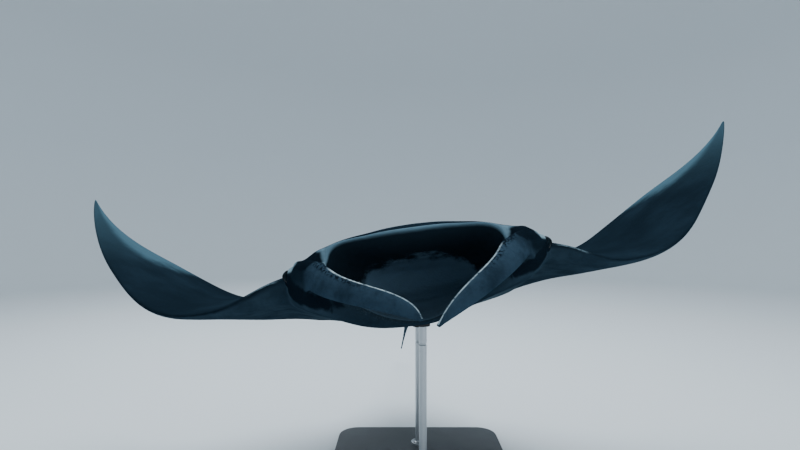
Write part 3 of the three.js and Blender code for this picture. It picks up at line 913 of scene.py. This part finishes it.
tint = {
    "back": (0.0054, 0.0116, 0.0181),
    "backLight": (0.0115, 0.0241, 0.0371),
    "fringe": (0.0580, 0.1216, 0.1624),
    # belly, bellyDark and chin: the pale underside's own grey, darkened with painted shade as on an
    # underside in shade
    "belly": (0.0270, 0.0499, 0.0706),
    "bellyDark": (0.0146, 0.0289, 0.0425),
    "bellyPale": (0.1147, 0.1699, 0.2024),
    "chin": (0.0085, 0.0183, 0.0280),
    "mark": (0.0046, 0.0095, 0.0152),
    "roof": (0.0113, 0.0217, 0.0311),
    "floor": (0.0969, 0.1712, 0.2418),
    "lip": (0.1360, 0.2281, 0.2895),
    # brow: the tone of the painted highlights over the eyes and on the wing roots' leading edge
    "brow": (0.2072, 0.3122, 0.3682),
    # rim: the tone of the painted highlights along the lobes' upper edges
    "rim": (0.4328, 0.5528, 0.6053),
    # lobe and lobeDark: the pale lobes' own grey, darkened with painted shade in the same way
    "lobe": (0.0268, 0.0513, 0.0774),
    "lobeDark": (0.0133, 0.0270, 0.0416),
    "teeth": (0.1731, 0.2251, 0.2511),
}
grains = {  # scale, detail and roughness of each noise
    "cloud": (3.2, 4),
    "speck": (95, 3, 0.6),
    "grain": (24, 5, 0.6),
    "patch": (9, 5, 0.62),
    "flecks": (105, 3, 0.6),
    "cloudy": (17, 6, 0.7),
}
streaking = {"across": 5, "along": 34}
spotting = {"belly": 11, "teeth": 240}
fades = {  # where each marking starts and where it is complete
    "clouds": (0.36, 0.74), "tips": (1.05, 1.70), "bars": (0.10, 0.60), "streaks": (0.36, 0.64),
    "fringe": (1.72, 2.06), "fringeEnd": (1.28, 1.43),
    "spots": (0.24, 0.29), "spotsFrom": (0.55, 0.70), "spotsHalf": (0.30, 0.45), "spotsHere": (0.42, 0.50),
    "middleFrom": (0.14, 0.40), "middleTo": (1.15, 1.40), "middleHalf": (0.26, 0.50),
    "chinTo": (0.06, 0.20), "chinHalf": (0.18, 0.32),
    # these two lines place the painted sheen along the wing roots' leading edge
    "sheenIn": (-0.026, -0.014), "sheenOut": (-0.004, 0.008), "sheenSpecks": (0.25, 0.60),
    "sheenFrom": (0.440, 0.475), "sheenTo": (0.520, 0.570),
    "lobeMottle": (0.35, 0.65), "lobe": (0.01, 0.16),
    "flecks": (0.47, 0.55), "flecksEdge": (0.72, 1.00), "flecksFrom": (0.04, 0.10), "flecksTo": (0.35, 0.62),
    "mouth": (0.3, 0.8), "teeth": (0.2, 0.5), "lip": (0.25, 0.75), "brow": (0.30, 0.33),
    "rim": (0.88, 0.96), "rimFrom": (0.17, 0.23), "rimSpecks": (0.28, 0.55), "rimFaded": (0.35, 0.62),
    "slit": (0.35, 0.95), "arches": (0.22, 0.28),
}
strength = {
    "tips": 0.38, "underFringe": 0.7, "bars": 0.30, "chin": 0.75, "spots": 0.85,
    "paintedSheen": 0.5, "gum": 0.6, "teeth": 0.2, "lip": 0.9, "light": 0.9,
}
relief = {
    "arches": 0.0008, "archStep": 0.045, "patch": 0.010, "streak": 0.001, "grain": 0.0022,
    "teeth": 0.0015, "speck": 0.0009,
}


def skinMaterial():
    material, tree, shader = newMaterial("mantaSkin")
    value = {n: addNode(tree, "Attribute", attribute_name=n).outputs["Fac"] for n in toneNames}
    along, lobed = value["along"], value["lobe"]
    cloud, speck, patch = [noise(tree, *grains[n]) for n in ("cloud", "speck", "patch")]
    grain, roughness = grained(tree, *grains["grain"], gloss=0.50, spread=0.25)
    streak = laidNoise(tree, value["across"], along, streaking["across"], streaking["along"])
    width = maths(tree, "ABSOLUTE", value["across"])

    def fade(measure, name):
        return step(tree, measure, *fades[name])

    def added(wave, amount, base):
        return maths(tree, "MULTIPLY_ADD", wave, amount, base)

    def ragged(signed, wave, amount, soft):  # a mask whose edge wanders with a noise
        return step(tree, added(maths(tree, "SUBTRACT", wave, 0.5), amount, signed), -soft, soft)

    def times(*masks):
        product = masks[0]
        for mask in masks[1:]:
            product = maths(tree, "MULTIPLY", product, mask)
        return product

    def below(mask):
        return maths(tree, "SUBTRACT", 1, mask)

    # the back, paler toward the wing tips and along the outer half of their rear edge
    clouds = added(streak, 0.10, times(cloud, 0.80))
    back = blend(tree, fade(clouds, "clouds"), tint["back"], tint["backLight"])
    back = blend(tree, times(fade(width, "tips"), strength["tips"]), back, tint["fringe"])
    outward = maths(tree, "ADD", value["rear"], maths(tree, "MINIMUM", width, 1.3))
    ended = added(value["rear"], 0.15, width)
    fringe = times(  # it ends raggedly half way along the wing, and is weaker on the underside
        fade(added(patch, 0.24, outward), "fringe"),
        fade(added(patch, 0.20, ended), "fringeEnd"),
        added(streak, 0.4, 0.6),
        below(times(value["under"], strength["underFringe"])),
    )
    back = blend(tree, fringe, back, tint["fringe"])
    bars = times(ragged(value["shoulder"], patch, 0.10, 0.030), fade(patch, "bars"), strength["bars"])
    back = blend(tree, bars, back, tint["fringe"])

    # the underside, with scattered dark spots behind the gills
    streaked = fade(added(streak, 0.3, times(patch, 0.7)), "streaks")
    under = blend(tree, streaked, tint["belly"], tint["bellyDark"])
    spotted = times(
        below(fade(added(grain, 0.12, spots(tree, spotting["belly"])), "spots")),
        fade(along, "spotsFrom"),
        below(fade(width, "spotsHalf")),
        fade(cloud, "spotsHere"),
    )
    middle = times(
        fade(along, "middleFrom"),
        below(fade(along, "middleTo")),
        below(fade(added(patch, 0.15, width), "middleHalf")),
    )
    under = blend(tree, times(middle, added(streak, 0.5, 0.25)), under, tint["bellyPale"])
    chin = times(below(fade(along, "chinTo")), below(fade(width, "chinHalf")))
    under = blend(tree, times(chin, strength["chin"]), under, tint["chin"])
    under = blend(tree, times(spotted, strength["spots"]), under, tint["mark"])
    colour = blend(tree, ragged(value["pale"], patch, 0.05, 0.010), back, under)

    # a painted sheen along the leading edge of each wing's root beside the eye, in the pale brow tone
    paintedSheen = added(grain, 0.030, value["pale"])
    beside = added(grain, 0.06, width)
    sheenMask = times(
        fade(paintedSheen, "sheenIn"),
        below(fade(paintedSheen, "sheenOut")),
        fade(beside, "sheenFrom"),
        below(fade(beside, "sheenTo")),
    )
    colour = blend(tree, times(sheenMask, fade(speck, "sheenSpecks"), strength["paintedSheen"]), colour, tint["brow"])

    # lobes: faintly mottled, flecked black along the upper edge near the root
    lobeTone = blend(tree, fade(patch, "lobeMottle"), tint["lobe"], tint["lobeDark"])
    colour = blend(tree, fade(lobed, "lobe"), colour, lobeTone)
    flecks = times(
        fade(noise(tree, *grains["flecks"]), "flecks"),
        fade(added(patch, 0.6, value["edge"]), "flecksEdge"),
        fade(lobed, "flecksFrom"),
        below(fade(lobed, "flecksTo")),
    )
    colour = blend(tree, flecks, colour, tint["mark"])

    # mouth: a dark roof, partly dark skin and partly painted shade deep in the mouth, a paler floor, a band
    # of fine teeth inside the lower lip
    cloudy = times(maths(tree, "ADD", noise(tree, *grains["cloudy"]), patch), 0.5)
    inside = blend(tree, ragged(value["floor"], cloudy, 1.0, 0.09), tint["roof"], tint["floor"])
    colour = blend(tree, fade(value["mouth"], "mouth"), colour, inside)
    colour = blend(tree, times(value["teeth"], strength["gum"]), colour, tint["chin"])
    teeth = spots(tree, spotting["teeth"])
    bare = times(value["teeth"], below(fade(teeth, "teeth")), strength["teeth"])
    colour = blend(tree, bare, colour, tint["teeth"])
    lips = times(value["lip"], fade(added(grain, 0.3, value["lip"]), "lip"))
    colour = blend(tree, times(lips, strength["lip"]), colour, tint["lip"])

    # dark and light marks of the head with the painted highlight over each eye, the painted highlights along
    # the lobes' rims and painted shade in the gill slits
    colour = blend(tree, ragged(value["mark"], grain, 0.024, 0.005), colour, tint["mark"])
    light = times(ragged(value["light"], grain, 0.014, 0.006), strength["light"])
    colour = blend(tree, light, colour, blend(tree, fade(width, "brow"), tint["lip"], tint["brow"]))
    # painted highlights along the lobes' upper edges, broken into specks and faded in patches
    rim = times(fade(value["edge"], "rim"), fade(lobed, "rimFrom"))
    faded = added(fade(patch, "rimFaded"), 0.45, 0.5)
    colour = blend(tree, times(rim, fade(speck, "rimSpecks"), faded), colour, tint["rim"])
    # painted shade inside the gill slits
    colour = blend(tree, fade(value["slit"], "slit"), colour, tint["mark"])
    coat(tree, shader, colour, roughness)
    shader.inputs["Specular IOR Level"].default_value = 0.0

    waves = maths(tree, "SINE", times(along, 2 * math.pi / relief["archStep"]))
    heights = {
        "arches": times(waves, value["mouth"], fade(along, "arches")),
        "patch": patch,
        "streak": streak,
        "grain": grain,
        "teeth": times(value["teeth"], below(teeth)),
        "speck": speck,
    }
    bump(tree, shader, *[(height, relief[name]) for name, height in heights.items()])
    return material


body = finishMesh(bm, "mantaSkin", skinMaterial())
soft = body.modifiers.new("smooth", "SUBSURF")
soft.levels = soft.render_levels = 1
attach(body, "root")
flesh = [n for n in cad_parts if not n.startswith(("stand_", "eye_"))]
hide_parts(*flesh)
print("skin dressed", len(body.data.vertices))

eyeTint = {
    "iris": (0.0020, 0.0052, 0.0080),
    "irisLight": (0.0052, 0.0120, 0.0165),
    "white": (0.0020, 0.0050, 0.0080),
    "pupil": (0.0010, 0.0014, 0.0020),
    "gloss": (0.55, 0.80, 1.0, 1),
}
eyeEdges = {"iris": (0.62, 0.67), "streak": (0.35, 0.65), "pupil": (0.86, 0.875)}
cornea = {"proud": 0.06, "from": 0.72}


def eyeMaterial():
    material, tree, shader = newMaterial("mantaEye")
    gaze = addNode(tree, "Attribute", attribute_name="gaze").outputs["Fac"]
    tall = addNode(tree, "Attribute", attribute_name="tall").outputs["Fac"]
    streak = noise(tree, 420, 3)
    iris = blend(tree, step(tree, streak, *eyeEdges["streak"]), eyeTint["iris"], eyeTint["irisLight"])
    colour = blend(tree, step(tree, gaze, *eyeEdges["iris"]), eyeTint["white"], iris)
    pupil = step(tree, maths(tree, "MULTIPLY_ADD", tall, -0.10, gaze), *eyeEdges["pupil"])
    coat(tree, shader, blend(tree, pupil, colour, eyeTint["pupil"]), 0.12)
    shader.inputs["Specular Tint"].default_value = eyeTint["gloss"]
    shader.inputs["Specular IOR Level"].default_value = 0.07
    return material


eyePaint = eyeMaterial()
for side, name in ((1, "eye_left"), (-1, "eye_right")):
    middle, axis = eyePlace(side)
    bm = bmesh.new()
    bmesh.ops.create_uvsphere(bm, u_segments=48, v_segments=32, radius=eye["radius"])
    gaze, tall = bm.verts.layers.float.new("gaze"), bm.verts.layers.float.new("tall")
    for v in bm.verts:
        v[gaze] = v.co.z / eye["radius"]
        v[tall] = abs(v.co.y) / eye["radius"]
        # the cornea stands a little proud
        v.co.z *= 1 + cornea["proud"] * ease((v[gaze] - cornea["from"]) / (1 - cornea["from"]))
    aim = axis.to_track_quat("Z", "Y").to_matrix().to_4x4()
    bmesh.ops.transform(bm, matrix=place @ Matrix.Translation(middle) @ aim, verts=bm.verts)
    ball = finishMesh(bm, "eyeball_" + name[4:], eyePaint)
    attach(ball, "root")
    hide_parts(name)
print("eyes set")

# display stand
stand = {
    "corner": 0.09, "chamfer": 0.005, "collar": 0.034, "collarHigh": 0.011,
    "collarEdge": 0.0025, "screw": 0.0042, "screwHigh": 0.0024, "screwRing": 0.025,
    "socketDeep": 0.0016, "around": 64, "screwAround": 24,
}
rod = {
    "fillet": 0.006, "filletSteps": 6, "weldSunk": 0.001, "groove": 0.0016,
    "grooveWide": 0.004, "grooveDown": 0.070,
}
finish = {  # what grained() takes, a darker and a lighter tone, and the bump
    "brushedSteel": {
        "noise": (60, 4, 0.6, (1, 1, 30), 0.20, 0.25),
        "tones": ((0.42, 0.44, 0.46), (0.62, 0.64, 0.66)),
        "metal": 1.0,
        "bump": 0.0003,
    },
    "satinPlate": {
        "noise": (14, 4, 0.55, (1, 1, 1), 0.36, 0.20),
        "tones": ((0.030, 0.036, 0.042), (0.044, 0.051, 0.058)),
        "metal": 0.0,
        "bump": 0.0003,
        "bumpNoise": (900, 2),
    },
    "standRubber": {
        "noise": (700, 3, 0.55, (1, 1, 1), 0.68, 0.15),
        "tones": ((0.010, 0.011, 0.012), (0.022, 0.023, 0.025)),
        "metal": 0.0,
        "bump": 0.0004,
    },
}


def standMaterial(name):
    look = finish[name]
    material, tree, shader = newMaterial(name)
    grain, roughness = grained(tree, *look["noise"])
    coat(tree, shader, blend(tree, grain, *look["tones"]), roughness)
    shader.inputs["Metallic"].default_value = look["metal"]
    if "bumpNoise" in look:
        grain = noise(tree, *look["bumpNoise"])
    bump(tree, shader, (grain, look["bump"]))
    return material


steel, plate, rubber = [standMaterial(name) for name in finish]
for name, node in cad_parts.items():
    if name.startswith("stand_"):
        node.data.materials.clear()
        node.data.materials.append(plate if "base" in name else steel if "rod" in name else rubber)

low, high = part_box("stand_base")
middle, size = (low + high) / 2, high - low
bm = bmesh.new()
bmesh.ops.create_cube(bm, size=1, matrix=Matrix.Translation(middle) @ Matrix.Diagonal((*size, 1)))
softly = {"affect": "EDGES", "profile": 0.5, "material": -1, "clamp_overlap": True}
uprights = [e for e in bm.edges if abs(e.verts[0].co.z - e.verts[1].co.z) > size.z / 2]
bmesh.ops.bevel(bm, geom=uprights, offset=stand["corner"], segments=16, **softly)
rims = [e for e in bm.edges if all(v.co.z > middle.z for v in e.verts)]
bmesh.ops.bevel(bm, geom=rims, offset=stand["chamfer"], segments=4, **softly)
slab = finishMesh(bm, "standPlate", plate, 30)
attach(slab, "root")
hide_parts("stand_base")
deck = high.z


def disk(bm, middle, radius, depth, segments):
    at = Matrix.Translation(middle)
    return bmesh.ops.create_cone(
        bm, cap_ends=True, segments=segments, radius1=radius, radius2=radius, depth=depth, matrix=at
    )


for end in ("front", "rear"):
    low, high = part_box("stand_rod_" + end)
    foot = Vector(((low.x + high.x) / 2, (low.y + high.y) / 2, deck))
    radius, rise = (high.x - low.x) / 2, stand["collarHigh"]

    # the flange, held by four socket screws
    bm = bmesh.new()
    disk(bm, foot + Vector((0, 0, rise / 2)), stand["collar"], rise, stand["around"])
    rims = [e for e in bm.edges if all(v.co.z > foot.z + rise / 2 for v in e.verts)]
    bmesh.ops.bevel(bm, geom=rims, offset=stand["collarEdge"], segments=3, **softly)
    for k in range(4):
        turned = math.pi / 4 + math.pi / 2 * k
        outside = Vector((math.cos(turned), math.sin(turned), 0)) * stand["screwRing"]
        above = Vector((0, 0, rise + stand["screwHigh"] / 2))
        at = foot + outside + above
        screw = disk(bm, at, stand["screw"], stand["screwHigh"], stand["screwAround"])
        tops = [f for f in bm.faces if f.normal.z > 0.9 and all(v in screw["verts"] for v in f.verts)]
        bmesh.ops.inset_region(bm, faces=tops, thickness=stand["screw"] / 2, depth=0.0)
        socket = list({v for f in tops for v in f.verts})
        bmesh.ops.translate(bm, vec=(0, 0, -stand["socketDeep"]), verts=socket)
    collar = finishMesh(bm, "standCollar_" + end, steel, 30)
    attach(collar, "root")

    # the rod: half its outline spun round, with a weld fillet on the flange and a groove under the pad
    weld, ring, seam = rod["fillet"], high.z - rod["grooveDown"], deck + rise
    sunk = seam - rod["weldSunk"]
    outline = [(0, low.z), (radius, low.z), (radius, sunk), (radius + weld, sunk)]
    for k in range(rod["filletSteps"] + 1):
        bend = math.pi / 2 * k / rod["filletSteps"]
        outline.append((radius + weld * (1 - math.sin(bend)), seam + weld * (1 - math.cos(bend))))
    for k, deep in ((-1, 0), (-0.4, 1), (0.4, 1), (1, 0)):
        outline.append((radius - rod["groove"] * deep, ring + rod["grooveWide"] * k))
    outline += [(radius, high.z), (0, high.z)]
    bm = spun([(foot.x + out, foot.y, z) for out, z in outline], foot, stand["around"])
    bmesh.ops.recalc_face_normals(bm, faces=bm.faces)
    post = finishMesh(bm, "standRod_" + end, steel, 30)
    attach(post, "root")
    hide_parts("stand_rod_" + end)
print("stand made")
